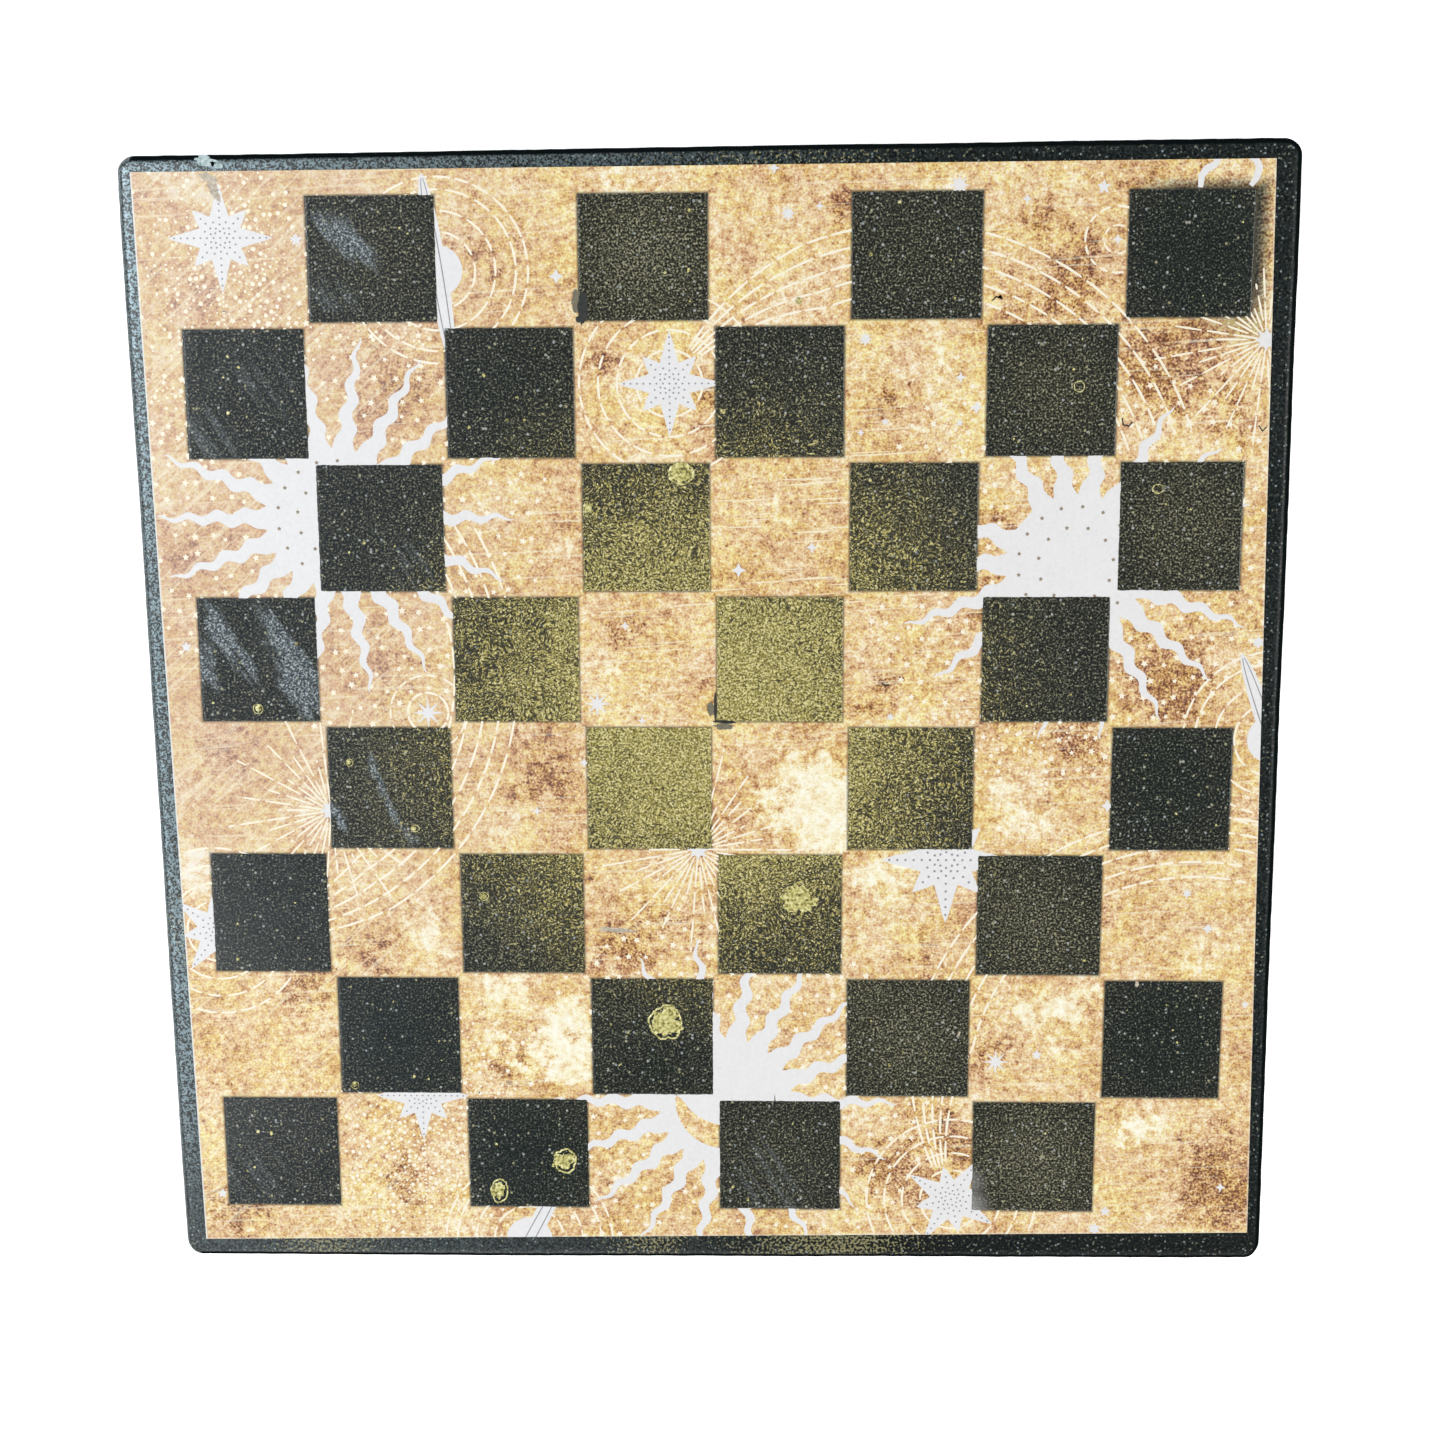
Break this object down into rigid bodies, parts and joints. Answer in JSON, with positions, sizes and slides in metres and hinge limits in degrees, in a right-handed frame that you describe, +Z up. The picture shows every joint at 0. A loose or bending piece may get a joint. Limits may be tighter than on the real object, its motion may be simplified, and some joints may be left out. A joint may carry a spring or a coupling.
{
  "type": "checkers board",
  "caption": "Flat square game board with rounded corners, a celestial print on its playing face and a checkered field of raised glitter paint squares.",
  "frame": {"origin": "centre of the underside of the board, at the middle of its bounding box", "axes": "+X along the ranks from file a to file h, +Y from rank 1 to rank 8, +Z up out of the playing face"},
  "size_m": [0.317, 0.317, 0.0127],
  "materials": {
    "panel_paint": "fibreboard painted black with fine glitter, clear gloss varnish",
    "printed_card": "mottled ochre printed card with pale sun and star motifs, clear satin varnish",
    "square_paint": "thick black glitter paint, clear gloss varnish",
    "gold_paint": "metallic gold paint, dried in drops"
  },
  "bodies": {
    "root": {"board_panel": "panel_paint", "printed_card": "printed_card", "dark_square_a1": "square_paint", "dark_square_c1": "square_paint", "dark_square_e1": "square_paint", "dark_square_g1": "square_paint", "dark_square_b2": "square_paint", "dark_square_d2": "square_paint", "dark_square_f2": "square_paint", "dark_square_h2": "square_paint", "dark_square_a3": "square_paint", "dark_square_c3": "square_paint", "dark_square_e3": "square_paint", "dark_square_g3": "square_paint", "dark_square_b4": "square_paint", "dark_square_d4": "square_paint", "dark_square_f4": "square_paint", "dark_square_h4": "square_paint", "dark_square_a5": "square_paint", "dark_square_c5": "square_paint", "dark_square_e5": "square_paint", "dark_square_g5": "square_paint", "dark_square_b6": "square_paint", "dark_square_d6": "square_paint", "dark_square_f6": "square_paint", "dark_square_h6": "square_paint", "dark_square_a7": "square_paint", "dark_square_c7": "square_paint", "dark_square_e7": "square_paint", "dark_square_g7": "square_paint", "dark_square_b8": "square_paint", "dark_square_d8": "square_paint", "dark_square_f8": "square_paint", "dark_square_h8": "square_paint", "gold_paint_drops": "gold_paint"}
  },
  "joints": []
}
